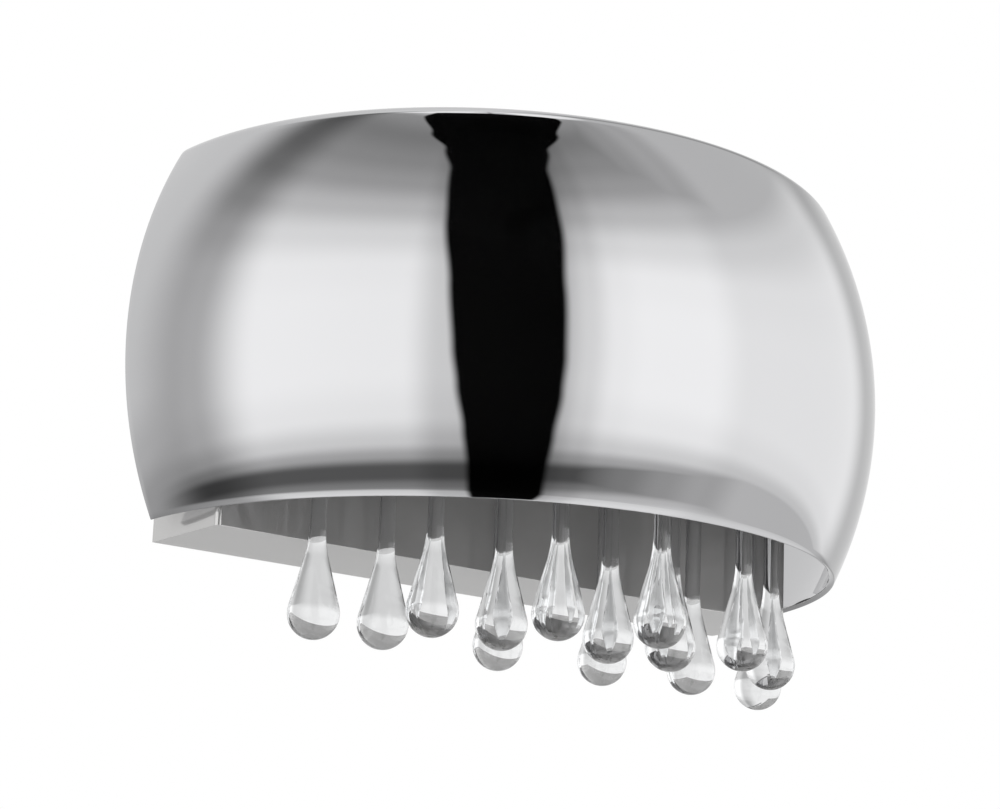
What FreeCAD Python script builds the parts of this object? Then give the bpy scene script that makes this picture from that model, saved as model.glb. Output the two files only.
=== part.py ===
import FreeCAD, Part
import math
import os
import re
import Sketcher

# A wall sconce: a folded steel pan on a wall bracket, a half-round bulged glass shade
# that stops just short of the wall, and glass drops that swing under a polished plate.
# Millimetres. X runs along the wall to the right, Y into the wall, Z up. The wall is the
# plane y = 0, and the origin is the middle of the pan's open back.

document = FreeCAD.newDocument("CrystalWallSconce")
sheet = document.addObject("Spreadsheet::Sheet", "Sizes")

# Places of the hanging drops on the plate, from the left: across the wall, and out from
# the pan's front.
DROP_PLACES = [
    (-128.5, 18), (-95.5, 64), (-91.5, 19), (-53.5, 59), (-52.5, 100), (-19.5, 10),
    (-9, 118), (2, 67), (36, 71), (42, 12), (57, 98), (89, 23), (103.5, 65), (144, 10),
]

SIZES = {
    # folded pan, open towards the wall
    "pan_depth": 58, "pan_sheet": 1.2, "pan_bend": 2.5, "pan_clearance": 0.667,
    # bracket that stays on the wall, with an ear at each end
    "bracket_height": 50, "bracket_sheet": 1.5, "ear_depth": 27,
    "wall_hole_pitch": 100, "wall_hole_radius": 2.6, "cable_hole_radius": 10,
    "bush_wall": 4, "bush_flange": 2.5, "bush_rim": 3,
    # screws, and the play that their holes leave
    "screw_radius": 2, "screw_play": 0.05, "clearance_hole": 2.3, "head_radius": 4,
    "head_height": 2.4, "pan_screw_out": 15, "pan_screw_length": 9,
    "small_screw_radius": 1.5, "small_head_radius": 2.2, "small_head_height": 1.6,
    # mains terminal block and earth stud on the bracket
    "block_across": 86, "block_width": 24, "block_height": 18, "block_depth": 14,
    "port_pitch": 8, "stud_across": 86, "stud_length": 14, "nut_radius": 4,
    "nut_height": 3.2,
    # glass shade: half of a bulged drum with a turned-in lip
    "glass_radius": 200, "glass_wall": 3, "glass_height": 183.5, "bulge_height": 86,
    "shoulder_radius": 10, "lip_width": 22.6528, "glass_back_gap": 14, "rim_above_pan": 7,
    # two posts and one arm that carry the lip between soft washers
    "fixing_inset": 11, "fixing_angle": 10, "fixing_hole": 3, "post_radius": 5,
    "post_height": 21, "post_screw_length": 9,
    "washer_radius": 6, "washer_bore": 2.2, "washer_height": 1.5,
    "lip_screw_length": 16, "cap_radius": 5.5, "cap_height": 1.5, "cap_top_radius": 4.3,
    "cap_edge_height": 0.7, "arm_width": 16,
    "arm_sheet": 2, "arm_foot": 30, "arm_foot_out": 14, "arm_end": 9,
    "arm_screw_pitch": 14,
    # polished plate that carries the lamps and the drops
    "plate_gap": 25, "plate_sheet": 2, "flange_height": 22, "flange_inset": 21,
    "plate_screw_pitch": 120, "plate_screw_up": 13, "plate_screw_length": 8,
    # hooks, rings and drops
    "hook_radius": 2.5, "hook_wire": 0.5, "hook_shank": 0.7, "hook_neck": 2.4,
    "hook_head_radius": 2.5, "hook_head_height": 1.2, "hook_play": 0.15,
    "ring_radius": 5, "ring_wire": 0.6,
    "hanging_gap": 0.3, "drop_radius": 12, "drop_length": 130, "drop_reach": 56,
    "neck_radius": 3.8, "flank_angle": 15, "neck_blend": 7.5, "eye_radius": 1.5,
    "eye_thickness": 3, "eye_bridge": 1.6, "eye_flat": 9,
    # lampholders and capsule lamps
    "lamp_pitch": 69, "lamp_out": 97, "holder_radius": 9.5, "holder_play": 0.3,
    "holder_below": 10, "holder_above": 13.5, "holder_flange_radius": 15,
    "holder_flange": 3, "holder_screw_pitch": 24, "holder_screw_length": 4.6,
    "socket_radius": 7, "socket_depth": 9, "pin_radius": 0.8, "pin_play": 0.05,
    "pin_length": 6, "pin_sink": 1, "pin_pitch": 9, "base_width": 11, "base_thickness": 4,
    "base_length": 13, "capsule_radius": 6.5, "capsule_length": 34, "base_sink": 4,
    # twin leads from the block to the lampholders
    "lead_radius": 1.6, "lead_play": 0.1, "lead_bush_wall": 2.3, "lead_bush_rim": 1.5,
    "lead_bush_flange": 1.5, "lead_bend": 7, "lead_up": 15, "lead_step": 5,
    "lead_out": 30,
    # radius of the plate that the drops' places are drawn for, and how far tools overrun
    "drawn_radius": 172, "over_cut": 1,
}
for number, (across, out) in enumerate(DROP_PLACES, 1):
    SIZES[f"drop_{number:02d}_across"] = across
    SIZES[f"drop_{number:02d}_out"] = out
for row, (alias, size) in enumerate(SIZES.items(), 1):
    sheet.set(f"A{row}", alias)
    sheet.set(f"B{row}", str(size))
    sheet.setAlias(f"B{row}", alias)
document.recompute()

# Heights and distances that more than one piece uses, as expressions on the sheet.
FRONT_Y = "(-pan_depth)"
GLASS_Y = "(-glass_back_gap)"
GLASS_INNER = "(glass_radius - glass_wall)"
PAN_FIT = f"(sqrt({GLASS_INNER} ^ 2 - bulge_height ^ 2) - pan_clearance)"
PAN_HALF = f"sqrt({PAN_FIT} ^ 2 - (pan_depth - glass_back_gap) ^ 2)"
PAN_HEIGHT = "(rim_above_pan + glass_height - glass_wall - washer_height - post_height)"
ROLL_UP = "(glass_height - shoulder_radius - bulge_height)"
ROLL_IN = f"sqrt((glass_radius - shoulder_radius) ^ 2 - {ROLL_UP} ^ 2)"
LIP_INNER = f"({ROLL_IN} - lip_width)"
RIM_Z = f"(rim_above_pan - {PAN_HEIGHT} / 2)"
PAN_TOP_Z = f"({PAN_HEIGHT} / 2)"
LIP_TOP_Z = f"({RIM_Z} + glass_height)"
LIP_SEAT_Z = f"({LIP_TOP_Z} - glass_wall - washer_height)"
DROP_BOTTOM_Z = f"({RIM_Z} - drop_reach)"
DROP_AXIS_Z = f"({DROP_BOTTOM_Z} + drop_length)"
RING_Z = f"({DROP_AXIS_Z} + ring_radius)"
RING_AXIS_Z = f"({RING_Z} + ring_radius - ring_wire - hook_wire - hanging_gap)"
HOOK_Z = f"({RING_AXIS_Z} + hook_radius)"
PLATE_Z = f"({HOOK_Z} + hook_radius + hook_neck)"
PLATE_TOP_Z = f"({PLATE_Z} + plate_sheet)"
HOLDER_Z = f"({PLATE_Z} - holder_below)"
SOCKET_Z = f"({HOLDER_Z} + socket_depth)"
HOLDER_TOP_Z = f"({PLATE_TOP_Z} + holder_flange + holder_above)"
PLATE_RADIUS = f"({GLASS_INNER} - plate_gap)"
PLATE_SCREW_Z = f"({PLATE_Z} + plate_screw_up)"
FIXING_CIRCLE = f"({LIP_INNER} + fixing_inset)"
FIXING_X = f"({FIXING_CIRCLE} * cos(fixing_angle))"
FIXING_Y = f"({GLASS_Y} - {FIXING_CIRCLE} * sin(fixing_angle))"
ARM_Y = f"({GLASS_Y} - {FIXING_CIRCLE})"
ARM_SCREW_OUT = ["(arm_foot_out + arm_foot / 2 - arm_screw_pitch / 2)",
                 "(arm_foot_out + arm_foot / 2 + arm_screw_pitch / 2)"]
LIP_FIXINGS = [("left", f"-{FIXING_X}", FIXING_Y), ("front", "0", ARM_Y),
               ("right", FIXING_X, FIXING_Y)]

X, Y, Z = FreeCAD.Vector(1, 0, 0), FreeCAD.Vector(0, 1, 0), FreeCAD.Vector(0, 0, 1)
nodes = []


def linked(text):
    """An expression whose aliases, the words with an underscore, point at the sheet."""
    return re.sub(r"[a-z]+(?:_[a-z0-9]+)+", r"Sizes.\g<0>", text)


def measure(text):
    """The number that an expression on the sheet gives now."""
    return float(sheet.evalExpression(linked(text)))


def bind(item, **sizes):
    for name, text in sizes.items():
        item.setExpression(name, linked(str(text)))
    return item


def place(item, x, y, z, along=Z):
    """Put an item's own origin at a point, with its own Z axis along a direction."""
    item.Placement = FreeCAD.Placement(FreeCAD.Vector(), FreeCAD.Rotation(Z, along))
    for axis, text in zip("xyz", (x, y, z)):
        item.setExpression(f"Placement.Base.{axis}", linked(str(text)))
    return item


def box(name, x, y, z, width, depth, height):
    item = bind(document.addObject("Part::Box", name), Length=width, Width=depth, Height=height)
    return place(item, x, y, z)


def rod(name, x, y, z, radius, length, along=Z):
    item = bind(document.addObject("Part::Cylinder", name), Radius=radius, Height=length)
    return place(item, x, y, z, along)


def wire_ring(name, x, y, z, radius, wire, along):
    item = bind(document.addObject("Part::Torus", name), Radius1=radius, Radius2=wire)
    return place(item, x, y, z, along)


def fuse(name, pieces):
    item = document.addObject("Part::MultiFuse", name)
    item.Shapes = pieces
    return item


def cut(name, base, tools):
    item = document.addObject("Part::Cut", name)
    item.Base = base
    item.Tool = tools[0] if len(tools) == 1 else fuse(f"{name}_tools", tools)
    return item


def group(name, pieces):
    item = document.addObject("Part::Compound", name)
    item.Links = pieces
    return item


def node(label, item):
    """Keep an item as a named sub-part of the sconce."""
    item.Label = label
    nodes.append(item)
    return item


def draw(sketch, corners):
    """Draw a closed outline. Each corner is (x, y), or (x, y, radius, turn) where an arc
    leads to the next corner, turning left with turn 1 and right with turn -1."""
    points = [FreeCAD.Vector(measure(c[0]), measure(c[1]), 0) for c in corners]
    ends = []
    for index, corner in enumerate(corners):
        start, end = points[index], points[(index + 1) % len(points)]
        if len(corner) == 2:
            edge = sketch.addGeometry(Part.LineSegment(start, end), False)
            ends.append((edge, 1, 2))
            continue
        radius, turn = measure(corner[2]), corner[3]
        chord = end - start
        side = FreeCAD.Vector(-chord.y, chord.x, 0).normalize() * turn
        centre = (start + end) * 0.5 + side * math.sqrt(radius ** 2 - (chord.Length / 2) ** 2)
        first, last = (start, end) if turn == 1 else (end, start)
        angles = [math.atan2(p.y - centre.y, p.x - centre.x) for p in (first, last)]
        circle = Part.Circle(centre, Z, radius)
        edge = sketch.addGeometry(Part.ArcOfCircle(circle, angles[0], angles[1]), False)
        ends.append((edge, 1, 2) if turn == 1 else (edge, 2, 1))
        limit = sketch.addConstraint(Sketcher.Constraint("Radius", edge, radius))
        sketch.setExpression(f"Constraints[{limit}]", linked(corner[2]))
    for index, (edge, start, end) in enumerate(ends):
        following = ends[(index + 1) % len(ends)]
        joined = Sketcher.Constraint("Coincident", edge, end, following[0], following[1])
        sketch.addConstraint(joined)
    for (edge, start, end), corner, point in zip(ends, corners, points):
        for kind, text, size, axis in (("DistanceX", corner[0], point.x, -2),
                                       ("DistanceY", corner[1], point.y, -1)):
            if text == "0":
                sketch.addConstraint(Sketcher.Constraint("PointOnObject", edge, start, axis))
                continue
            limit = sketch.addConstraint(Sketcher.Constraint(kind, -1, 1, edge, start, size))
            sketch.setExpression(f"Constraints[{limit}]", linked(text))


def turned(name, corners, sweep="360"):
    """Turn an outline of radii and heights about the Z axis, from +X towards -Y."""
    body = document.addObject("PartDesign::Body", name)
    sketch = body.newObject("Sketcher::SketchObject", f"{name}_outline")
    plane = next(f for f in body.Origin.OriginFeatures if f.Role == "XZ_Plane")
    sketch.AttachmentSupport = [(plane, "")]
    sketch.MapMode = "FlatFace"
    draw(sketch, corners)
    turn = body.newObject("PartDesign::Revolution", f"{name}_turn")
    turn.Profile = sketch
    turn.ReferenceAxis = (sketch, ["V_Axis"])
    turn.Angle = float(sweep)
    turn.Reversed = True
    body.Tip = turn
    return body


def padded(name, corners, height):
    """Raise an outline on the XY plane to a height."""
    body = document.addObject("PartDesign::Body", name)
    sketch = body.newObject("Sketcher::SketchObject", f"{name}_outline")
    plane = next(f for f in body.Origin.OriginFeatures if f.Role == "XY_Plane")
    sketch.AttachmentSupport = [(plane, "")]
    sketch.MapMode = "FlatFace"
    draw(sketch, corners)
    pad = body.newObject("PartDesign::Pad", f"{name}_pad")
    pad.Profile = sketch
    pad.setExpression("Length", linked(height))
    body.Tip = pad
    return body


def screw(name, x, y, z, radius, length, head_radius, head_height, along):
    """A screw whose head rests at the point, on the side away from its direction."""
    step = {1: "+", -1: "-"}
    signs = [step.get(round(c), "") for c in along]
    head_at = [f"({text}) - ({sign}1) * {head_height}" if sign else text
               for text, sign in zip((x, y, z), signs)]
    shank = rod(f"{name}_shank", x, y, z, radius, length, along)
    head = rod(f"{name}_head", *head_at, head_radius, head_height, along)
    return fuse(name, [shank, head])


def lead_path(points, bend):
    """Straight runs joined by tangent arcs of one bend radius."""
    edges = []
    start = points[0]
    for before, corner, after in zip(points, points[1:], points[2:]):
        back = (before - corner).normalize()
        ahead = (after - corner).normalize()
        reach = bend / math.tan(back.getAngle(ahead) / 2)
        first, last = corner + back * reach, corner + ahead * reach
        middle = (back + ahead).normalize()
        depth = bend / math.sin(back.getAngle(ahead) / 2) - bend
        edges.append(Part.LineSegment(start, first).toShape())
        edges.append(Part.Arc(first, corner + middle * depth, last).toShape())
        start = last
    edges.append(Part.LineSegment(start, points[-1]).toShape())
    return Part.Wire(edges)


def lead(name, points):
    """A round lead along a path, square to its first run."""
    path = lead_path([FreeCAD.Vector(*(measure(t) for t in p)) for p in points],
                     measure("lead_bend"))
    first = path.Edges[0]
    ring = Part.makeCircle(measure("lead_radius"), first.Vertexes[0].Point, first.tangentAt(0))
    item = document.addObject("Part::Feature", name)
    item.Shape = path.makePipeShell([Part.Wire(ring)], True, False)
    return item


def wall_bracket():
    """Strip on the wall, with ears that the pan's side screws enter."""
    inner = f"({PAN_HALF} - pan_sheet)"
    low = "(-bracket_height / 2)"
    strip = box("bracket_strip", f"-{inner}", "-bracket_sheet", low,
                f"2 * {inner}", "bracket_sheet", "bracket_height")
    ears = [box("bracket_ear_left", f"-{inner}", "-ear_depth", low,
                "bracket_sheet", "ear_depth", "bracket_height"),
            box("bracket_ear_right", f"{inner} - bracket_sheet", "-ear_depth", low,
                "bracket_sheet", "ear_depth", "bracket_height")]
    through = "2 * bracket_sheet"
    tapped = "screw_radius + screw_play"
    holes = [rod("bracket_cable_hole", "0", f"-{through}", "0", "cable_hole_radius",
                 f"2 * {through}", Y),
             rod("bracket_stud_hole", "-stud_across", f"-{through}", "0", "screw_radius",
                 f"2 * {through}", Y)]
    for side, sign in (("left", "-"), ("right", "")):
        holes.append(rod(f"bracket_wall_hole_{side}", f"{sign}wall_hole_pitch / 2",
                         f"-{through}", "0", "wall_hole_radius", f"2 * {through}", Y))
        holes.append(rod(f"bracket_block_hole_{side}",
                         f"block_across {sign or '+'} port_pitch / 2", f"-{through}", "0",
                         "small_screw_radius + screw_play", f"2 * {through}", Y))
        holes.append(rod(f"bracket_ear_hole_{side}", f"{sign}{inner} - {through}",
                         "-pan_screw_out", "0", tapped, f"2 * {through}", X))
    plate = fuse("bracket_plate", [strip] + ears)
    node("wall_bracket", cut("wall_bracket", plate, holes))


def cable_bush():
    """Soft bush in the bracket, flush with the wall, that the mains cable comes through."""
    bore = "(cable_hole_radius - bush_wall)"
    length = "(bracket_sheet + bush_flange)"
    sleeve = rod("bush_sleeve", "0", f"-{length}", "0", "cable_hole_radius", length, Y)
    rim = rod("bush_flange_disc", "0", f"-{length}", "0", "cable_hole_radius + bush_rim",
              "bush_flange", Y)
    hole = rod("bush_hole", "0", f"-2 * {length}", "0", bore, f"4 * {length}", Y)
    node("cable_bush", cut("cable_bush", fuse("bush_body", [sleeve, rim]), [hole]))


def pan_outline(inset, bend):
    """Plan of the pan at a sheet's inset, from the wall to its two bent front edges."""
    side = f"({PAN_HALF} - {inset})"
    front = f"(pan_depth - {inset})"
    return [(f"-{side}", "0"), (f"-{side}", f"-({front} - {bend})", bend, 1),
            (f"-({side} - {bend})", f"-{front}"), (f"({side} - {bend})", f"-{front}", bend, 1),
            (side, f"-({front} - {bend})"), (side, "0")]


def back_pan():
    """Folded tray, open to the wall, with rounded upright front edges."""
    outer = place(padded("pan_outer", pan_outline("0", "pan_bend"), PAN_HEIGHT),
                  "0", "0", f"-{PAN_TOP_Z}")
    inner = place(padded("pan_inner", pan_outline("pan_sheet", "(pan_bend - pan_sheet)"),
                         f"{PAN_HEIGHT} - 2 * pan_sheet"),
                  "0", "0", f"pan_sheet - {PAN_TOP_Z}")
    through = "4 * pan_sheet"
    holes = []
    for side, sign in (("left", "-"), ("right", "")):
        holes.append(rod(f"pan_side_hole_{side}", f"{sign}{PAN_HALF} - {through} / 2",
                         "-pan_screw_out", "0", "clearance_hole", through, X))
        holes.append(rod(f"pan_post_hole_{side}", f"{sign}{FIXING_X}", FIXING_Y,
                         f"{PAN_TOP_Z} - {through} / 2", "clearance_hole", through))
    for number, step in enumerate((-1, 0, 1), 1):
        holes.append(rod(f"pan_plate_hole_{number}", f"{step} * plate_screw_pitch",
                         f"{FRONT_Y} - {through} / 2", PLATE_SCREW_Z,
                         "screw_radius + screw_play", through, Y))
        holes.append(rod(f"pan_lead_hole_{number}", f"{step} * lamp_pitch",
                         f"{FRONT_Y} - {through} / 2", lead_height(step),
                         "lead_radius + lead_play + lead_bush_wall", through, Y))
    for number, out in enumerate(ARM_SCREW_OUT, 1):
        holes.append(rod(f"pan_arm_hole_{number}", "0", f"-{out}",
                         f"{PAN_TOP_Z} - {through} / 2", "screw_radius + screw_play",
                         through))
    node("back_pan", cut("back_pan", cut("pan_tray", outer, [inner]), holes))


def lead_height(step):
    """Height at which the lead of the lamp at -1, 0 or 1 leaves the pan."""
    return f"({HOLDER_TOP_Z} + lead_up + {1 - step} * lead_step)"


def pan_screws():
    """Two screws through the pan's sides into the bracket's ears."""
    left = screw("pan_screw_left", f"-{PAN_HALF}", "-pan_screw_out", "0", "screw_radius",
                 "pan_screw_length", "head_radius", "head_height", X)
    right = screw("pan_screw_right", PAN_HALF, "-pan_screw_out", "0", "screw_radius",
                  "pan_screw_length", "head_radius", "head_height", -X)
    node("pan_screws", group("pan_screws", [left, right]))


def terminal_block():
    """Block for the mains wires, held on the bracket by two small screws."""
    front = "(-bracket_sheet - block_depth)"
    body = box("block_body", "block_across - block_width / 2", front, "-block_height / 2",
               "block_width", "block_depth", "block_height")
    bore = "small_screw_radius + screw_play"
    holes, screws = [], []
    for side, sign in (("left", "-"), ("right", "+")):
        across = f"block_across {sign} port_pitch / 2"
        holes.append(rod(f"block_hole_{side}", across, f"{front} - over_cut", "0", bore,
                         "block_depth + 2 * over_cut", Y))
        screws.append(screw(f"block_screw_{side}", across, front, "0", "small_screw_radius",
                            "block_depth + bracket_sheet", "small_head_radius",
                            "small_head_height", Y))
    node("terminal_block", cut("terminal_block", body, holes))
    node("terminal_screws", group("terminal_screws", screws))


def earth_terminal():
    """Stud pressed into the bracket, and its nut, for the earth wire."""
    node("earth_stud", rod("earth_stud", "-stud_across", "-stud_length", "0",
                           "screw_radius", "stud_length", Y))
    seat = "(-bracket_sheet - nut_height)"
    body = document.addObject("Part::Prism", "earth_nut_body")
    body.Polygon = 6
    place(bind(body, Circumradius="nut_radius", Height="nut_height"),
          "-stud_across", seat, "0", Y)
    hole = rod("earth_nut_hole", "-stud_across", f"{seat} - over_cut", "0",
               "screw_radius + screw_play", "nut_height + 2 * over_cut", Y)
    node("earth_nut", cut("earth_nut", body, [hole]))


def glass_shade():
    """Half drum of blown glass: a bulge struck from one centre, rolled in to a flat lip."""
    outer, inner = "glass_radius", GLASS_INNER
    roll = "(glass_radius - shoulder_radius)"
    corners = [
        (f"sqrt({outer} ^ 2 - bulge_height ^ 2)", "0", outer, 1),
        (f"{ROLL_IN} * {outer} / {roll}",
         f"bulge_height + {ROLL_UP} * {outer} / {roll}", "shoulder_radius", 1),
        (ROLL_IN, "glass_height"),
        (LIP_INNER, "glass_height"),
        (LIP_INNER, "glass_height - glass_wall"),
        (ROLL_IN, "glass_height - glass_wall", "(shoulder_radius - glass_wall)", -1),
        (f"{ROLL_IN} * {inner} / {roll}",
         f"bulge_height + {ROLL_UP} * {inner} / {roll}", inner, -1),
        (f"sqrt({inner} ^ 2 - bulge_height ^ 2)", "0"),
    ]
    glass = place(turned("shade_glass", corners, sweep="180"), "0", GLASS_Y, RIM_Z)
    holes = [rod(f"glass_hole_{name}", x, y, f"{LIP_SEAT_Z}", "fixing_hole",
                 "2 * (glass_wall + washer_height)") for name, x, y in LIP_FIXINGS]
    node("glass_shade", cut("glass_shade", glass, holes))


def shade_supports():
    """Posts at the sides and an arm at the front carry the glass lip between washers."""
    tapped = "screw_radius + screw_play"
    post_screws = []
    for name, x, y in (LIP_FIXINGS[0], LIP_FIXINGS[2]):
        body = rod(f"post_body_{name}", x, y, PAN_TOP_Z, "post_radius", "post_height")
        bore = rod(f"post_bore_{name}", x, y, f"{PAN_TOP_Z} - over_cut", tapped,
                   "post_height + 2 * over_cut")
        node(f"shade_post_{name}", cut(f"shade_post_{name}", body, [bore]))
        post_screws.append(screw(f"post_screw_{name}", x, y, f"{PAN_TOP_Z} - pan_sheet",
                                 "screw_radius", "post_screw_length", "head_radius",
                                 "head_height", Z))
    node("post_screws", group("post_screws", post_screws))

    left = "(-arm_width / 2)"
    foot_front = "(-arm_foot_out - arm_foot)"
    foot = box("arm_foot_strip", left, foot_front, PAN_TOP_Z,
               "arm_width", "arm_foot", "arm_sheet")
    riser = box("arm_riser", left, f"{foot_front} - arm_sheet", PAN_TOP_Z,
                "arm_width", "arm_sheet", "post_height")
    reach = f"(-({ARM_Y}) + arm_end)"
    strip = box("arm_strip", left, f"-{reach}", f"{LIP_SEAT_Z} - arm_sheet",
                "arm_width", f"{reach} + {foot_front}", "arm_sheet")
    holes = [rod("arm_lip_hole", "0", ARM_Y, f"{LIP_SEAT_Z} - 2 * arm_sheet", tapped,
                 "3 * arm_sheet")]
    arm_screws = []
    for number, out in enumerate(ARM_SCREW_OUT, 1):
        holes.append(rod(f"arm_foot_hole_{number}", "0", f"-{out}", f"{PAN_TOP_Z} - over_cut",
                         "clearance_hole", "arm_sheet + 2 * over_cut"))
        arm_screws.append(screw(f"arm_screw_{number}", "0", f"-{out}",
                                f"{PAN_TOP_Z} + arm_sheet", "screw_radius",
                                "arm_sheet + 4 * pan_sheet", "head_radius", "head_height", -Z))
    node("shade_arm", cut("shade_arm", fuse("arm_body", [foot, riser, strip]), holes))
    node("arm_screws", group("arm_screws", arm_screws))

    nut_z = f"({LIP_SEAT_Z} - arm_sheet - nut_height)"
    body = document.addObject("Part::Prism", "arm_nut_body")
    body.Polygon = 6
    place(bind(body, Circumradius="nut_radius", Height="nut_height"), "0", ARM_Y, nut_z)
    hole = rod("arm_nut_hole", "0", ARM_Y, f"{nut_z} - over_cut", tapped,
               "nut_height + 2 * over_cut")
    node("arm_nut", cut("arm_nut", body, [hole]))


def lip_fastenings():
    """Soft washers above and below the glass lip, and the domed screws through them."""
    washers, screws = [], []
    for name, x, y in LIP_FIXINGS:
        for level, z in (("lower", LIP_SEAT_Z), ("upper", LIP_TOP_Z)):
            disc = rod(f"washer_disc_{level}_{name}", x, y, z, "washer_radius",
                       "washer_height")
            bore = rod(f"washer_bore_{level}_{name}", x, y, f"{z} - over_cut",
                       "washer_bore", "washer_height + 2 * over_cut")
            washers.append(cut(f"washer_{level}_{name}", disc, [bore]))
        seat = f"({LIP_TOP_Z} + washer_height)"
        shank = rod(f"lip_screw_shank_{name}", x, y, f"{seat} - lip_screw_length",
                    "screw_radius", "lip_screw_length")
        cap = turned(f"lip_screw_cap_{name}",
                     [("0", "0"), ("cap_radius", "0"), ("cap_radius", "cap_edge_height"),
                      ("cap_top_radius", "cap_height"), ("0", "cap_height")])
        screws.append(fuse(f"lip_screw_{name}", [shank, place(cap, x, y, seat)]))
    node("shade_washers", group("shade_washers", washers))
    node("shade_screws", group("shade_screws", screws))


def drop_place(number):
    """Where a drop hangs, with the drawn places spread to the plate's own radius."""
    spread = f"{PLATE_RADIUS} / drawn_radius"
    return (f"(drop_{number:02d}_across * {spread})",
            f"({FRONT_Y} - drop_{number:02d}_out * {spread})")


def drop_plate():
    """Polished half-round plate on the pan's front, holed for the lamps and hooks."""
    disc = rod("plate_disc", "0", GLASS_Y, PLATE_Z, PLATE_RADIUS, "plate_sheet")
    below, through = f"{PLATE_Z} - over_cut", "plate_sheet + 2 * over_cut"
    behind = box("plate_behind", f"-2 * {PLATE_RADIUS}", FRONT_Y, below,
                 f"4 * {PLATE_RADIUS}", f"2 * {PLATE_RADIUS}", through)
    half = cut("plate_half", disc, [behind])
    flange_half = f"({PAN_HALF} - flange_inset)"
    flange = box("plate_flange", f"-{flange_half}", f"{FRONT_Y} - plate_sheet", PLATE_Z,
                 f"2 * {flange_half}", "plate_sheet", "flange_height")
    holes, screws = [], []
    for number, step in enumerate((-1, 0, 1), 1):
        across = f"{step} * plate_screw_pitch"
        seat = f"({FRONT_Y} - plate_sheet)"
        holes.append(rod(f"plate_screw_hole_{number}", across,
                         f"{seat} - over_cut", PLATE_SCREW_Z, "clearance_hole", through, Y))
        screws.append(screw(f"plate_screw_{number}", across, seat, PLATE_SCREW_Z,
                            "screw_radius", "plate_screw_length", "head_radius",
                            "head_height", Y))
        lamp = f"{step} * lamp_pitch"
        holes.append(rod(f"plate_lamp_hole_{number}", lamp, "-lamp_out", below,
                         "holder_radius + holder_play", through))
        for side in ("-", "+"):
            name = "left" if side == "-" else "right"
            holes.append(rod(f"plate_holder_hole_{name}_{number}",
                             f"{lamp} {side} holder_screw_pitch / 2", "-lamp_out",
                             below, "small_screw_radius + screw_play", through))
    for number in range(1, len(DROP_PLACES) + 1):
        holes.append(rod(f"plate_hook_hole_{number:02d}", *drop_place(number), below,
                         "hook_shank + hook_play", through))
    node("drop_plate", cut("drop_plate", fuse("plate_body", [half, flange]), holes))
    node("plate_screws", group("plate_screws", screws))


def lampholders_and_lamps():
    """Three ceramic holders seated on the plate, each with a two-pin capsule lamp."""
    screws = []
    for side, step in (("left", -1), ("middle", 0), ("right", 1)):
        x = f"{step} * lamp_pitch"
        y = "-lamp_out"
        barrel = rod(f"holder_barrel_{side}", x, y, HOLDER_Z, "holder_radius",
                     f"{HOLDER_TOP_Z} - {HOLDER_Z}")
        flange = rod(f"holder_disc_{side}", x, y, PLATE_TOP_Z, "holder_flange_radius",
                     "holder_flange")
        holes = [rod(f"holder_socket_{side}", x, y, f"{HOLDER_Z} - over_cut",
                     "socket_radius", "socket_depth + over_cut")]
        pins = []
        for name, sign in (("left", "-"), ("right", "+")):
            pin_x = f"{x} {sign} pin_pitch / 2"
            holes.append(rod(f"holder_pin_hole_{name}_{side}", pin_x, y, f"{SOCKET_Z} - over_cut",
                             "pin_radius + pin_play", "pin_length + 2 * over_cut"))
            pins.append(rod(f"lamp_pin_{name}_{side}", pin_x, y, f"{SOCKET_Z} - pin_sink",
                            "pin_radius", "pin_length + pin_sink"))
            screw_x = f"{x} {sign} holder_screw_pitch / 2"
            holes.append(rod(f"holder_screw_hole_{name}_{side}", screw_x, y,
                             f"{PLATE_TOP_Z} - over_cut", "small_screw_radius + screw_play",
                             "holder_flange + 2 * over_cut"))
            screws.append(screw(f"holder_screw_{name}_{side}", screw_x, y, PLATE_Z,
                                "small_screw_radius", "holder_screw_length",
                                "small_head_radius", "small_head_height", Z))
        body = fuse(f"holder_body_{side}", [barrel, flange])
        node(f"lampholder_{side}", cut(f"lampholder_{side}", body, holes))

        base_z = f"({SOCKET_Z} - base_length)"
        base = box(f"lamp_base_{side}", f"{x} - base_width / 2", f"{y} - base_thickness / 2",
                   base_z, "base_width", "base_thickness", "base_length")
        capsule = turned(f"lamp_capsule_{side}", [
            ("0", "0", "capsule_radius", 1),
            ("capsule_radius", "capsule_radius"),
            ("capsule_radius", "capsule_length - capsule_radius", "capsule_radius", 1),
            ("0", "capsule_length")])
        place(capsule, x, y, f"{base_z} + base_sink - capsule_length")
        node(f"lamp_{side}", fuse(f"lamp_{side}", [base, capsule] + pins))
    node("holder_screws", group("holder_screws", screws))


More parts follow.
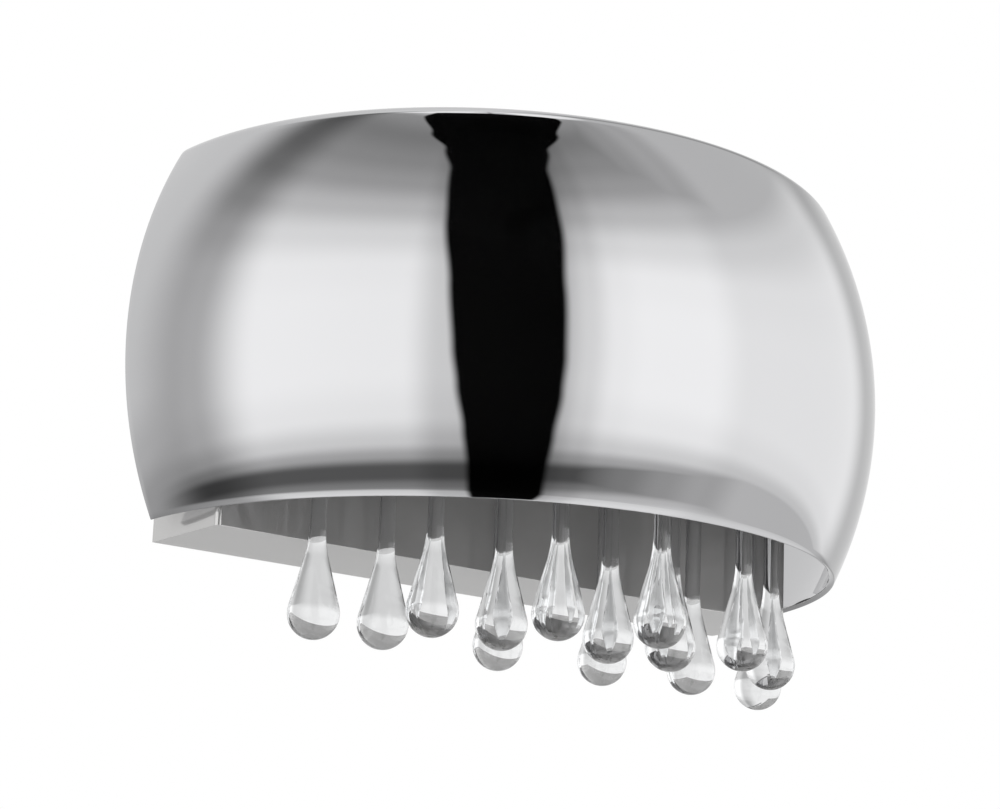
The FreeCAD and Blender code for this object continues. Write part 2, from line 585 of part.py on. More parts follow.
def lamp_leads():
    """Twin leads from the terminal block, through bushes in the pan, to the holders."""
    bushes = []
    for side, step in (("left", -1), ("middle", 0), ("right", 1)):
        x = f"({step} * lamp_pitch)"
        z = lead_height(step)
        port = f"(block_across - {step} * port_pitch)"
        run_y = f"(-lead_out - {1 - step} * lead_step)"
        points = [(port, "-bracket_sheet - block_depth", "0"), (port, run_y, "0"),
                  (port, run_y, z), (x, run_y, z), (x, "-lamp_out", z),
                  (x, "-lamp_out", HOLDER_TOP_Z)]
        node(f"lead_{side}", lead(f"lead_{side}", points))
        hole = "(lead_radius + lead_play + lead_bush_wall)"
        sleeve = rod(f"lead_bush_sleeve_{side}", x, FRONT_Y, z, hole, "pan_sheet", Y)
        rim = rod(f"lead_bush_rim_{side}", x, f"{FRONT_Y} - lead_bush_flange", z,
                  f"{hole} + lead_bush_rim", "lead_bush_flange", Y)
        bore = rod(f"lead_bush_bore_{side}", x, f"{FRONT_Y} - 2 * lead_bush_flange", z,
                   "lead_radius + lead_play", "pan_sheet + 4 * lead_bush_flange", Y)
        body = fuse(f"lead_bush_body_{side}", [sleeve, rim])
        bushes.append(cut(f"lead_bush_{side}", body, [bore]))
    node("lead_bushes", group("lead_bushes", bushes))


def hooks_rings_and_drops():
    """Each drop hangs by its eye from a ring, and the ring from a hook in the plate."""
    neck_foot = "(drop_radius + drop_radius * sin(flank_angle))"
    flank_in = "(drop_radius * cos(flank_angle))"
    neck_meet = f"({neck_foot} + ({flank_in} - neck_radius) / tan(flank_angle))"
    blend_radius = "(neck_blend / tan(flank_angle / 2))"
    eye_z = "(drop_length + ring_wire + hanging_gap - eye_radius)"
    top_z = f"({eye_z} + eye_radius + eye_bridge)"
    outline = [
        ("0", "0", "drop_radius", 1),
        (flank_in, neck_foot),
        ("neck_radius + neck_blend * sin(flank_angle)",
         f"{neck_meet} - neck_blend * cos(flank_angle)", blend_radius, -1),
        ("neck_radius", f"{neck_meet} + neck_blend"),
        ("neck_radius", f"{top_z} - neck_radius", "neck_radius", 1),
        ("0", top_z),
    ]
    hooks = []
    for number in range(1, len(DROP_PLACES) + 1):
        tag = f"{number:02d}"
        x, y = drop_place(number)
        eye = wire_ring(f"hook_eye_{tag}", x, y, HOOK_Z, "hook_radius", "hook_wire", X)
        shank = rod(f"hook_shank_{tag}", x, y, f"{HOOK_Z} + hook_radius", "hook_shank",
                    "hook_neck + plate_sheet + hook_head_height / 2")
        head = rod(f"hook_head_{tag}", x, y, PLATE_TOP_Z, "hook_head_radius",
                   "hook_head_height")
        hooks.append(fuse(f"hook_{tag}", [eye, shank, head]))
        node(f"ring_{tag}", wire_ring(f"ring_{tag}", x, y, RING_Z, "ring_radius",
                                      "ring_wire", Y))

        glass = place(turned(f"drop_glass_{tag}", outline), x, y, DROP_BOTTOM_Z)
        flat_z = f"({DROP_BOTTOM_Z} + {top_z} - eye_flat)"
        flats = [
            box(f"drop_flat_left_{tag}", f"{x} - eye_thickness / 2 - 2 * neck_radius",
                f"{y} - 2 * neck_radius", flat_z, "2 * neck_radius", "4 * neck_radius",
                "2 * eye_flat"),
            box(f"drop_flat_right_{tag}", f"{x} + eye_thickness / 2",
                f"{y} - 2 * neck_radius", flat_z, "2 * neck_radius", "4 * neck_radius",
                "2 * eye_flat")]
        hole = rod(f"drop_eye_{tag}", f"{x} - 2 * eye_thickness", y,
                   f"{DROP_BOTTOM_Z} + {eye_z}", "eye_radius", "4 * eye_thickness", X)
        node(f"drop_{tag}", cut(f"drop_{tag}", glass, flats + [hole]))
    node("drop_hooks", group("drop_hooks", hooks))


def write_parts():
    """Check every object and write each sub-part to its own file."""
    document.recompute()
    for item in document.Objects:
        if "Invalid" in item.State or "Error" in item.State:
            raise RuntimeError(f"{item.Name} did not recompute")
    os.makedirs("parts", exist_ok=True)
    for item in nodes:
        if item.Shape.isNull() or not item.Shape.isValid():
            raise RuntimeError(f"{item.Label} has no valid shape")
        item.Shape.exportStep(f"parts/{item.Label}.step")


wall_bracket()
cable_bush()
back_pan()
pan_screws()
terminal_block()
earth_terminal()
glass_shade()
shade_supports()
lip_fastenings()
drop_plate()
lampholders_and_lamps()
lamp_leads()
hooks_rings_and_drops()
write_parts()
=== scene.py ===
import math

import bmesh
import bpy
from mathutils import Matrix, Vector


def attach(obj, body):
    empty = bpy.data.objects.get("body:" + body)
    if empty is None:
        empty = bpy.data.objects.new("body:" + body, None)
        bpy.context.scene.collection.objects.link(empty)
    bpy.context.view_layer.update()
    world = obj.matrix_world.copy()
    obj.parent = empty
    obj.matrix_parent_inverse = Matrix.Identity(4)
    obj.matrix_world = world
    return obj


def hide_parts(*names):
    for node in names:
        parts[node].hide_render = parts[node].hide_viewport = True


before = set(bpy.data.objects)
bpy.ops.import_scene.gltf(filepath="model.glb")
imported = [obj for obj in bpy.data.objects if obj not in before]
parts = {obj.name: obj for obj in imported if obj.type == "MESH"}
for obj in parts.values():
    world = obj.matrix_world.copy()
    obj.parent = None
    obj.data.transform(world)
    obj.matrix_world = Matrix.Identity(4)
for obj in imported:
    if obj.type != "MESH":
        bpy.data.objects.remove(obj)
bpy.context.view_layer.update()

# ---------------------------------------------------------------- wall bracket
# A zinc-plated steel strip that stays on the wall, folded into an ear at each
# end. The plating shows faint grey crystals and a dull, uneven shine.
ZINC_COLOUR = (0.46, 0.47, 0.48)
GRAIN_DETAIL = 6
GRAIN_RANGE = (0.3, 0.7)
RELIEF_DEPTH = 0.0002


def surface(name, colour, metal, shine, grain, bump, shift=0.88):
    """A material whose colour, roughness and relief all follow one fine grain."""
    made = bpy.data.materials.new(name)
    made.use_nodes = True
    nodes, links = made.node_tree.nodes, made.node_tree.links
    shader = nodes["Principled BSDF"]
    shader.inputs["Metallic"].default_value = metal
    place = nodes.new("ShaderNodeTexCoord")
    noise = nodes.new("ShaderNodeTexNoise")
    noise.inputs["Scale"].default_value = grain
    noise.inputs["Detail"].default_value = GRAIN_DETAIL
    links.new(place.outputs["Object"], noise.inputs["Vector"])
    tone = nodes.new("ShaderNodeMix")
    tone.data_type = "RGBA"
    tone.inputs["A"].default_value = tuple(c * shift for c in colour) + (1,)
    tone.inputs["B"].default_value = tuple(colour) + (1,)
    links.new(noise.outputs["Fac"], tone.inputs["Factor"])
    links.new(tone.outputs["Result"], shader.inputs["Base Color"])
    rough = nodes.new("ShaderNodeMapRange")
    rough.inputs["From Min"].default_value = GRAIN_RANGE[0]
    rough.inputs["From Max"].default_value = GRAIN_RANGE[1]
    rough.inputs["To Min"].default_value = shine[0]
    rough.inputs["To Max"].default_value = shine[1]
    links.new(noise.outputs["Fac"], rough.inputs["Value"])
    links.new(rough.outputs["Result"], shader.inputs["Roughness"])
    relief = nodes.new("ShaderNodeBump")
    relief.inputs["Strength"].default_value = bump
    relief.inputs["Distance"].default_value = RELIEF_DEPTH
    links.new(noise.outputs["Fac"], relief.inputs["Height"])
    links.new(relief.outputs["Normal"], shader.inputs["Normal"])
    return made


def dress(material, *names):
    """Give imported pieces, whose shape is already right, their finish."""
    for name in names:
        for slot in parts[name].material_slots:
            slot.material = material


zinc = surface("zinc plating", ZINC_COLOUR, metal=1, shine=(0.26, 0.44), grain=260,
               bump=0.25)
dress(zinc, "wall_bracket", "earth_stud", "earth_nut")

# ------------------------------------------------------------------- soft bush
# A moulded black rubber bush lines the cable hole, so that the sheet's edge
# can't cut the mains cable. The same rubber lines the three lead holes.
RUBBER_COLOUR = (0.03, 0.03, 0.032)
rubber = surface("bush rubber", RUBBER_COLOUR, metal=0, shine=(0.55, 0.75), grain=900,
                 bump=0.4)
dress(rubber, "cable_bush", "lead_bushes")

# -------------------------------------------------------------------- back pan
# Thin steel folded into a tray that is open to the wall, then plated to a soft
# shine. Its upright front edges are rolled over a rounder tool than the rest.
PAN_HALF = Vector((0.171, 0.029, 0.0825))
PAN_SHEET = 0.0012
PAN_UPRIGHT_BEND = 0.0025
PAN_FLAT_BEND = 0.0009
PAN_COLOUR = (0.60, 0.595, 0.59)
SIDE_SCREW_Y = -0.015
SIDE_SCREW_HOLE = 0.0023
LEAD_HOLES = [(-0.069, 0.058), (0, 0.053), (0.069, 0.048)]
LEAD_HOLE = 0.004
SAME_PLACE = 1e-6


def settle(piece=None):
    """Leave edit mode, and select one piece alone or nothing."""
    if bpy.context.object and bpy.context.object.mode == "EDIT":
        bpy.ops.object.mode_set(mode="OBJECT")
    bpy.ops.object.select_all(action="DESELECT")
    if piece:
        piece.select_set(True)
        bpy.context.view_layer.objects.active = piece


def start(name, add, at=(0, 0, 0), **sizes):
    """Add a primitive at its size and place, as a new named piece in edit mode."""
    settle()
    add(location=at, **sizes)
    piece = bpy.context.object
    piece.name = piece.data.name = name
    bpy.ops.object.transform_apply(location=True, rotation=True, scale=True)
    bpy.ops.object.mode_set(mode="EDIT")
    bpy.ops.mesh.select_mode(type="VERT")
    return piece


def pick_edges(piece, test):
    """Select the edges of a piece whose two ends pass a test."""
    bpy.ops.mesh.select_mode(type="EDGE")
    bpy.ops.mesh.select_all(action="DESELECT")
    mesh = bmesh.from_edit_mesh(piece.data)
    for edge in mesh.edges:
        edge.select_set(test(edge.verts[0].co, edge.verts[1].co))
    bmesh.update_edit_mesh(piece.data)


def pick_faces(piece, test):
    """Select the faces of a piece whose normal passes a test."""
    bpy.ops.mesh.select_mode(type="FACE")
    bpy.ops.mesh.select_all(action="DESELECT")
    mesh = bmesh.from_edit_mesh(piece.data)
    for face in mesh.faces:
        face.select_set(test(face.normal))
    bmesh.update_edit_mesh(piece.data)


def apply(piece, kind, **settings):
    """Put a modifier on a piece and apply it."""
    settle(piece)
    added = piece.modifiers.new(kind, kind)
    for name, value in settings.items():
        setattr(added, name, value)
    bpy.ops.object.modifier_apply(modifier=added.name)


def bore(piece, at, radius, length, axis, steps=32):
    """Drill a round hole through a piece."""
    turn = {"X": (0, math.pi / 2, 0), "Y": (math.pi / 2, 0, 0), "Z": (0, 0, 0)}[axis]
    tool = start("drill", bpy.ops.mesh.primitive_cylinder_add, at, radius=radius,
                 depth=length, vertices=steps, rotation=turn)
    apply(piece, "BOOLEAN", operation="DIFFERENCE", solver="EXACT", object=tool)
    bpy.data.objects.remove(tool)


def done(piece, body, material, replaced, smooth=30):
    """Shade a finished piece, give it its finish, and hang it on its body."""
    settle(piece)
    bpy.ops.object.shade_smooth_by_angle(angle=math.radians(smooth))
    piece.data.materials.clear()
    piece.data.materials.append(material)
    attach(piece, body)
    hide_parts(*replaced)


def on_front(*ends):
    """Whether all these points lie at the pan's front."""
    return all(end.y < -1.5 * PAN_HALF.y for end in ends)


pan = start("folded_pan", bpy.ops.mesh.primitive_cube_add, (0, -PAN_HALF.y, 0), size=2,
            scale=PAN_HALF)
pick_edges(pan, lambda a, b: on_front(a, b) and abs(a.x - b.x) < SAME_PLACE)
bpy.ops.mesh.bevel(offset=PAN_UPRIGHT_BEND, segments=8, profile=0.5, affect="EDGES")
pick_edges(pan, lambda a, b: on_front(a, b) and abs(a.z - b.z) < SAME_PLACE
           and abs(a.x - b.x) > PAN_HALF.x)
bpy.ops.mesh.bevel(offset=PAN_FLAT_BEND, segments=4, profile=0.5, affect="EDGES")
pick_faces(pan, lambda normal: normal.y > 0.9)
bpy.ops.mesh.delete(type="FACE")
apply(pan, "SOLIDIFY", thickness=PAN_SHEET, offset=-1, use_even_offset=True)
for across in (-PAN_HALF.x, PAN_HALF.x):
    bore(pan, (across, SIDE_SCREW_Y, 0), SIDE_SCREW_HOLE, length=0.01, axis="X")
for across, up in LEAD_HOLES:
    bore(pan, (across, -2 * PAN_HALF.y, up), LEAD_HOLE, length=0.01, axis="Y")
pan_chrome = surface("polished pan", PAN_COLOUR, metal=0.55, shine=(0.08, 0.14), grain=90,
                     bump=0.02, shift=0.96)
done(pan, "fixture", pan_chrome, ["back_pan"])

# --------------------------------------------------------------- bright screws
# Small nickel-plated machine screws with plain low heads, and the hexagon nut
# under the shade's arm. The shade's two posts have the same bright plating.
NICKEL_COLOUR = (0.66, 0.65, 0.63)
nickel = surface("nickel plating", NICKEL_COLOUR, metal=1, shine=(0.12, 0.24), grain=500,
                 bump=0.1)
dress(nickel, "pan_screws", "terminal_screws", "post_screws", "arm_screws", "arm_nut",
      "shade_post_left", "shade_post_right", "shade_screws", "plate_screws",
      "holder_screws")

# -------------------------------------------------------------- terminal block
# A white nylon block on the bracket takes the building's wires at one side
# and the lamps' three leads at the other.
NYLON_COLOUR = (0.78, 0.77, 0.73)
nylon = surface("white nylon", NYLON_COLOUR, metal=0, shine=(0.38, 0.52), grain=400,
                bump=0.15, shift=0.96)
dress(nylon, "terminal_block")

# ----------------------------------------------------------------- shade's arm
# A polished steel strip, folded twice, reaches from the pan's top to the front
# of the shade and carries the glass between two soft washers.
SILICONE_COLOUR = (0.62, 0.64, 0.66)
dress(pan_chrome, "shade_arm")
silicone = surface("clear silicone", SILICONE_COLOUR, metal=0, shine=(0.3, 0.45),
                   grain=700, bump=0.2)
dress(silicone, "shade_washers")

# ----------------------------------------------------------------- glass shade
# Half of a blown drum: a bulge struck from one centre, rolled in to a flat lip.
# A thin grey metal film on the glass mirrors the room and lets a little through.
SHADE_AXIS_Y = -0.014
BULGE_CENTRE = Vector((0, SHADE_AXIS_Y, 0.0105))
BULGE_RADIUS = 0.2
RIM_UP = -0.0755
LIP_UP = 0.108
ROLL_RADIUS = 0.01
LIP_INNER = 0.146
LIP_HOLES = [(-0.1546, -0.0413), (0, -0.171), (0.1546, -0.0413)]
LIP_HOLE = 0.003
GLASS_WALL = 0.003
RIM_POLISH = 0.0005
SHARP_EDGE = math.radians(50)
FILM_COLOUR = (0.60, 0.60, 0.61)
FILM_COVER = 0.97


def drawn_point(name, at):
    """One point to draw from: a plane whose corners are merged at its middle."""
    piece = start(name, bpy.ops.mesh.primitive_plane_add, at, size=0.001)
    bpy.ops.mesh.select_all(action="SELECT")
    bpy.ops.mesh.merge(type="CENTER")
    return piece


def arc(centre, degrees, steps):
    """Carry the drawn end round a centre, towards +Z from +X when positive."""
    bpy.ops.mesh.spin(steps=steps, angle=math.radians(degrees), center=centre,
                      axis=(0, 1, 0))


def line(x, z):
    """Carry the drawn end straight on."""
    bpy.ops.mesh.extrude_region_move(TRANSFORM_OT_translate={"value": (x, 0, z)})


def lathe(y, degrees, steps):
    """Turn the whole drawn outline about an upright line and close its seams."""
    bpy.ops.mesh.select_all(action="SELECT")
    bpy.ops.mesh.spin(steps=steps, angle=math.radians(degrees), center=(0, y, 0),
                      axis=(0, 0, 1))
    bpy.ops.mesh.select_all(action="SELECT")
    bpy.ops.mesh.remove_doubles(threshold=SAME_PLACE)
    bpy.ops.mesh.normals_make_consistent(inside=False)


def tune(material, socket, value):
    """Set one more value on a material's shader."""
    material.node_tree.nodes["Principled BSDF"].inputs[socket].default_value = value


rim_slope = math.asin((RIM_UP - BULGE_CENTRE.z) / BULGE_RADIUS)
roll_up = LIP_UP - ROLL_RADIUS - BULGE_CENTRE.z
roll_slope = math.asin(roll_up / (BULGE_RADIUS - ROLL_RADIUS))
roll_in = (BULGE_RADIUS - ROLL_RADIUS) * math.cos(roll_slope)
shade = drawn_point("mirrored_shade",
                    (BULGE_RADIUS * math.cos(rim_slope), SHADE_AXIS_Y, RIM_UP))
arc(BULGE_CENTRE, math.degrees(roll_slope - rim_slope), steps=56)
arc((roll_in, SHADE_AXIS_Y, LIP_UP - ROLL_RADIUS), 90 - math.degrees(roll_slope), steps=14)
line(LIP_INNER - roll_in, 0)
lathe(SHADE_AXIS_Y, degrees=180, steps=144)
apply(shade, "SOLIDIFY", thickness=GLASS_WALL, offset=-1, use_even_offset=True)
apply(shade, "BEVEL", width=RIM_POLISH, segments=3, limit_method="ANGLE",
      angle_limit=SHARP_EDGE)
for across, out in LIP_HOLES:
    bore(shade, (across, out, LIP_UP), LIP_HOLE, length=0.02, axis="Z")
mirror = surface("grey mirror film", FILM_COLOUR, metal=1, shine=(0.012, 0.03), grain=6,
                 bump=0.05, shift=0.97)
tune(mirror, "Alpha", FILM_COVER)
done(shade, "fixture", mirror, ["glass_shade"], smooth=40)

# ------------------------------------------------------------------ drop plate
# A half-round polished steel plate on the pan's front. It holds the lamps and
# the hooks, and throws the lamps' light down through the drops.
dress(pan_chrome, "drop_plate")

# ----------------------------------------------------------------- lampholders
# Glazed white ceramic, pressed and fired, with two pin holes in each socket.
# They sit in the plate's three large holes on a flange with two screws.
CERAMIC_COLOUR = (0.80, 0.78, 0.73)
ceramic = surface("glazed ceramic", CERAMIC_COLOUR, metal=0, shine=(0.12, 0.3), grain=300,
                  bump=0.2, shift=0.95)
dress(ceramic, "lampholder_left", "lampholder_middle", "lampholder_right")

# --------------------------------------------------------------- capsule lamps
# Clear quartz bulbs, each sealed to a flat foot whose two pins push up into
# its holder.
QUARTZ_COLOUR = (0.9, 0.9, 0.9)
quartz = surface("lamp glass", QUARTZ_COLOUR, metal=0, shine=(0.0, 0.03), grain=50,
                 bump=0.02, shift=0.99)
tune(quartz, "Transmission Weight", 1)
dress(quartz, "lamp_left", "lamp_middle", "lamp_right")

# ------------------------------------------------------------------ lamp leads
# Round twin leads sheathed in white silicone, which stands the lamps' heat.
# They run from the terminal block through the pan's bushes to the holders.
SHEATH_COLOUR = (0.72, 0.71, 0.68)
sheath = surface("lead sheath", SHEATH_COLOUR, metal=0, shine=(0.4, 0.55), grain=600,
                 bump=0.25)
dress(sheath, "lead_left", "lead_middle", "lead_right")

# ------------------------------------------------------------- hooks and rings
# Each drop hangs on a ring of nickel-plated wire, and the ring on a wire hook
# whose riveted head lies on the plate.
RING_RADIUS = 0.005
RING_WIRE = 0.0006
RING_UP = 0.0035
RING_GAP = math.radians(6)
DROP_PLACES = [
    (-0.1285, -0.076), (-0.0955, -0.122), (-0.0915, -0.077), (-0.0535, -0.117),
    (-0.0525, -0.158), (-0.0195, -0.068), (-0.009, -0.176), (0.002, -0.125),
    (0.036, -0.129), (0.042, -0.070), (0.057, -0.156), (0.089, -0.081),
    (0.1035, -0.123), (0.144, -0.068),
]
dress(nickel, "drop_hooks")
for number, (across, out) in enumerate(DROP_PLACES, 1):
    ring = start(f"wire_ring_{number:02d}", bpy.ops.mesh.primitive_circle_add,
                 (across + RING_RADIUS, out, RING_UP), radius=RING_WIRE, vertices=12)
    bpy.ops.mesh.select_all(action="SELECT")
    bpy.ops.mesh.edge_face_add()
    bpy.ops.mesh.spin(steps=44, angle=2 * math.pi - RING_GAP,
                      center=(across, out, RING_UP), axis=(0, 1, 0))
    bpy.ops.mesh.edge_face_add()
    bpy.ops.mesh.select_all(action="SELECT")
    bpy.ops.mesh.normals_make_consistent(inside=False)
    done(ring, f"ring_{number:02d}_body", nickel, [f"ring_{number:02d}"],
         smooth=40)

# ----------------------------------------------------------------- glass drops
# Solid clear glass, drawn from the melt: a round ball that narrows to a long
# neck, pinched flat at the top and drilled for its ring.
DROP_RADIUS = 0.012
DROP_BOTTOM = -0.1315
NECK_RADIUS = 0.0038
FLANK_DEGREES = 15
NECK_BLEND = 0.0075
EYE_UP = -0.0021
EYE_RADIUS = 0.0015
EYE_HALF = 0.0015
EYE_FLAT = 0.009
TOP_UP = 0.001
PINCH = 0.01
DROP_COLOUR = (0.97, 0.975, 0.98)
GLASS_BENDING = 1.5

flank = math.radians(FLANK_DEGREES)
ball_up = DROP_BOTTOM + DROP_RADIUS
flank_in = DROP_RADIUS * math.cos(flank)
flank_up = ball_up + DROP_RADIUS * math.sin(flank)
neck_meet = flank_up + (flank_in - NECK_RADIUS) / math.tan(flank)
neck_up = neck_meet + NECK_BLEND
blend_radius = NECK_BLEND / math.tan(flank / 2)
blend_in = NECK_RADIUS + NECK_BLEND * math.sin(flank)
blend_up = neck_meet - NECK_BLEND * math.cos(flank)
pattern = drawn_point("drop_pattern", (0, 0, DROP_BOTTOM))
arc((0, 0, ball_up), 90 + FLANK_DEGREES, steps=22)
line(blend_in - flank_in, blend_up - flank_up)
arc((NECK_RADIUS + blend_radius, 0, neck_up), -FLANK_DEGREES, steps=8)
line(0, TOP_UP - NECK_RADIUS - neck_up)
arc((0, 0, TOP_UP - NECK_RADIUS), 90, steps=8)
lathe(0, degrees=360, steps=40)
for side in (-1, 1):
    block = start("pinch", bpy.ops.mesh.primitive_cube_add,
                  (side * (EYE_HALF + PINCH / 2), 0, TOP_UP), size=PINCH,
                  scale=(1, 1, 2 * EYE_FLAT / PINCH))
    apply(pattern, "BOOLEAN", operation="DIFFERENCE", solver="EXACT", object=block)
    bpy.data.objects.remove(block)
bore(pattern, (0, 0, EYE_UP), EYE_RADIUS, length=2 * PINCH, axis="X", steps=24)
drop_glass = surface("clear drop glass", DROP_COLOUR, metal=0, shine=(0.0, 0.012),
                     grain=60, bump=0.03, shift=0.99)
tune(drop_glass, "Transmission Weight", 1)
tune(drop_glass, "IOR", GLASS_BENDING)
for number, (across, out) in enumerate(DROP_PLACES, 1):
    drop = bpy.data.objects.new(f"glass_drop_{number:02d}", pattern.data.copy())
    bpy.context.scene.collection.objects.link(drop)
    drop.data.transform(Matrix.Translation((across, out, 0)))
    done(drop, f"drop_{number:02d}_body", drop_glass, [f"drop_{number:02d}"],
         smooth=35)
bpy.data.objects.remove(pattern)

# ---------------------------------------------------------------------- studio
# Two tall soft lights with a dark gap between them stand before the lamp, over a
# pale floor, and all else is white. Headings are in degrees from straight out
# of the wall, less towards the left, and heights are in degrees above level.
FLOOR_UP = -1.2
FLOOR_RADIUS = 3.2
FLOOR_CENTRE = (0.69, 0.98)
FLOOR_COLOUR = (0.86, 0.86, 0.86)
SOFT_LIGHT = 1.47
WHITE = 1.0
LIGHT_BY_HEIGHT = [
    (-50, 0.8), (-39, 0.72), (-36, 0.52), (-33.2, 0.22), (-31, 0.1), (-28.5, 0.1),
    (-25.5, 0.42), (-22, 0.7), (-15, 0.93), (-4, 1.0), (14, 1.0), (24, 0.97), (33, 0.8),
    (41, 0.56), (49, 0.36), (56, 0.28), (64, 0.22), (71, 0.3), (77, 1.0),
]
LEAST_BY_HEADING = [(-8, 0.08), (12, 0.22), (25, 0.32), (39, 0.42), (53, 0.58)]
LIGHT_BY_HEADING = [
    (-130, 0.4), (-120, 0.45), (-98, 0.98), (-56, 0.95), (-45, 0.68), (-13, 0.52),
    (-5, 0.75), (3, 0.95), (12, 1.0), (32, 1.0), (46, 0.88), (96, 0.85), (112, 0.48),
    (130, 0.45),
]
# The floor's dark far edge, lowest towards the heading where it faces the lamp.
EDGE_DROP = 18
EDGE_SWING = 12
EDGE_HEADING = 42
EDGE_DRAWN_AT = 28.2
# The dark gap, which leans a little and opens towards the top.
GAP_HEADING = 26.5
GAP_LEAN = 0.055
GAP_WIDEST = 60
GAP_BY_HEIGHT = [
    (-30, 0.19), (-20, 0.205), (-8, 0.23), (2, 0.243), (20, 0.255), (38, 0.285),
    (54, 0.30), (61, 0.37), (66, 0.54), (72, 0.75), (75, 0.7), (79, 0.0),
]
GAP_SIDE = [(-0.5, 0.004), (2.5, 1.0)]
BACK_BY_HEADING = [(-150, 1.0), (-122, 0.0), (112, 0.0), (140, 1.0)]
BACK_BY_HEIGHT = [(-25, 0.38), (-12, 0.5), (-6, 0.68), (5, 0.87), (60, 0.87), (80, 1.0)]

settle()
bpy.ops.mesh.primitive_circle_add(vertices=128, radius=FLOOR_RADIUS, fill_type="NGON",
                                  location=(*FLOOR_CENTRE, FLOOR_UP))
floor = bpy.context.object
floor.name = "pale_floor"
bpy.ops.object.transform_apply(location=True, rotation=True, scale=True)
pale = surface("pale floor", FLOOR_COLOUR, metal=0, shine=(0.7, 0.9), grain=3, bump=0.0,
               shift=0.99)
floor.data.materials.append(pale)
floor.visible_glossy = floor.visible_transmission = False

world = bpy.data.worlds.new("studio")
bpy.context.scene.world = world
world.use_nodes = True
nodes, links = world.node_tree.nodes, world.node_tree.links
nodes.clear()


def node(kind, **settings):
    """Add a node to the world, with its settings."""
    made = nodes.new(kind)
    for name, value in settings.items():
        setattr(made, name, value)
    return made


def reckon(operation, first, second=None):
    """One arithmetic step on numbers or on other steps' results."""
    step = node("ShaderNodeMath", operation=operation)
    for socket, value in zip(step.inputs, (first, second)):
        if isinstance(value, (int, float)):
            socket.default_value = value
        elif value is not None:
            links.new(value, socket)
    return step.outputs["Value"]


def fade(value, low, high, stops):
    """A smooth run of light levels between two angles."""
    ramp = node("ShaderNodeValToRGB")
    links.new(reckon("DIVIDE", reckon("SUBTRACT", value, low), high - low),
              ramp.inputs["Fac"])
    band = ramp.color_ramp
    band.interpolation = "EASE"
    band.elements.remove(band.elements[1])
    band.elements[0].position = (stops[0][0] - low) / (high - low)
    for angle, level in stops[1:]:
        band.elements.new((angle - low) / (high - low))
    for element, (angle, level) in zip(band.elements, stops):
        element.color = (level, level, level, 1)
    return ramp.outputs["Color"]


direction = node("ShaderNodeTexCoord")
split = node("ShaderNodeSeparateXYZ")
links.new(direction.outputs["Generated"], split.inputs["Vector"])
forward = reckon("MULTIPLY", split.outputs["Y"], -1)
heading = reckon("MULTIPLY", reckon("ARCTAN2", split.outputs["X"], forward),
                 math.degrees(1))
height = reckon("MULTIPLY", reckon("ARCSINE", split.outputs["Z"]), math.degrees(1))

edge_turn = reckon("MULTIPLY", reckon("ADD", heading, EDGE_HEADING), math.radians(1))
edge_drop = reckon("ADD", reckon("MULTIPLY", reckon("COSINE", edge_turn), EDGE_SWING),
                   EDGE_DROP)
below = reckon("MULTIPLY", reckon("MINIMUM", height, 0),
               reckon("DIVIDE", EDGE_DRAWN_AT, edge_drop))
edge_height = reckon("ADD", reckon("MAXIMUM", height, 0), below)
upright = fade(edge_height, low=-50, high=90, stops=LIGHT_BY_HEIGHT)
least = fade(heading, low=-180, high=180, stops=LEAST_BY_HEADING)
sideways = fade(heading, low=-180, high=180, stops=LIGHT_BY_HEADING)

gap_middle = reckon("ADD", reckon("MULTIPLY", height, GAP_LEAN), GAP_HEADING)
gap_half = fade(height, low=-40, high=90, stops=GAP_BY_HEIGHT)
past_gap = reckon("SUBTRACT", reckon("ABSOLUTE", reckon("ADD", heading, gap_middle)),
                  reckon("MULTIPLY", gap_half, GAP_WIDEST))
beside_gap = fade(past_gap, low=-20, high=20, stops=GAP_SIDE)

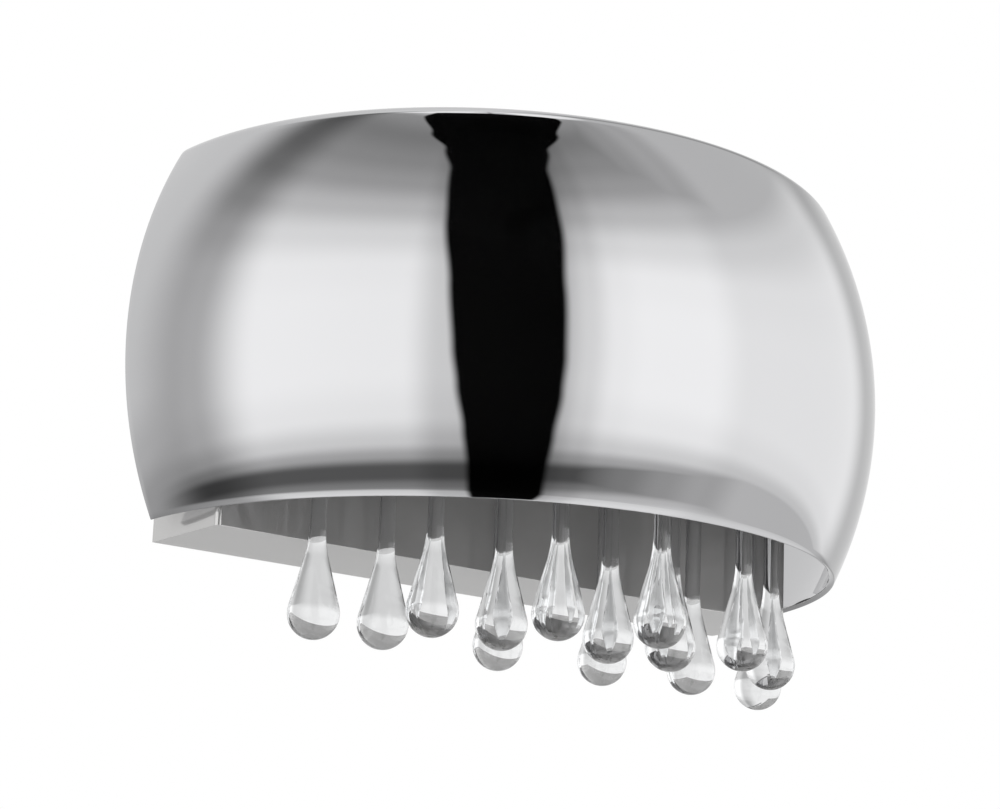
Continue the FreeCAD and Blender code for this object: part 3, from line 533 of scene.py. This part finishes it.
lights = reckon("MULTIPLY", reckon("MAXIMUM", upright, least), sideways)
front = reckon("MULTIPLY", reckon("MULTIPLY", lights, beside_gap), SOFT_LIGHT)
behind = fade(heading, low=-180, high=180, stops=BACK_BY_HEADING)
back_level = fade(height, low=-40, high=90, stops=BACK_BY_HEIGHT)
rest = reckon("MULTIPLY", back_level, WHITE)
studio = reckon("ADD", reckon("MULTIPLY", front, reckon("SUBTRACT", 1, behind)),
                reckon("MULTIPLY", rest, behind))
path = node("ShaderNodeLightPath")
strength = node("ShaderNodeMix", data_type="FLOAT")
links.new(reckon("MAXIMUM", path.outputs["Is Glossy Ray"],
                 path.outputs["Is Transmission Ray"]), strength.inputs["Factor"])
strength.inputs["A"].default_value = WHITE
links.new(studio, strength.inputs["B"])
sky = node("ShaderNodeBackground")
sky.inputs["Color"].default_value = (1, 1, 1, 1)
links.new(strength.outputs["Result"], sky.inputs["Strength"])
world_out = node("ShaderNodeOutputWorld")
links.new(sky.outputs["Background"], world_out.inputs["Surface"])

# ---------------------------------------------------------------------- camera
# The photograph's own viewpoint: low, to the left, with a long lens. It was
# fitted to the shade's outline and rim and the pan's lower edges.
VIEW_FROM = Vector((-0.81417, -1.16077, -0.34153))
VIEW_TURN = math.radians(-35.89)
VIEW_PITCH = math.radians(-14.12)
VIEW_ROLL = math.radians(2.15)
LENS = 103.65
ahead = Vector((-math.sin(VIEW_TURN) * math.cos(VIEW_PITCH),
                math.cos(VIEW_TURN) * math.cos(VIEW_PITCH), -math.sin(VIEW_PITCH)))
right = ahead.cross(Vector((0, 0, 1))).normalized()
above = right.cross(ahead)
level_right = math.cos(VIEW_ROLL) * right + math.sin(VIEW_ROLL) * above
level_above = math.cos(VIEW_ROLL) * above - math.sin(VIEW_ROLL) * right
lens = bpy.data.cameras.new("view")
lens.lens = LENS
lens.sensor_width = 36
lens.sensor_fit = "HORIZONTAL"
lens.clip_start = 0.01
eye = bpy.data.objects.new("view", lens)
bpy.context.scene.collection.objects.link(eye)
eye.matrix_world = Matrix((
    (level_right.x, level_above.x, -ahead.x, VIEW_FROM.x),
    (level_right.y, level_above.y, -ahead.y, VIEW_FROM.y),
    (level_right.z, level_above.z, -ahead.z, VIEW_FROM.z),
    (0, 0, 0, 1)))
bpy.context.scene.camera = eye
bpy.context.scene.view_settings.view_transform = "Standard"
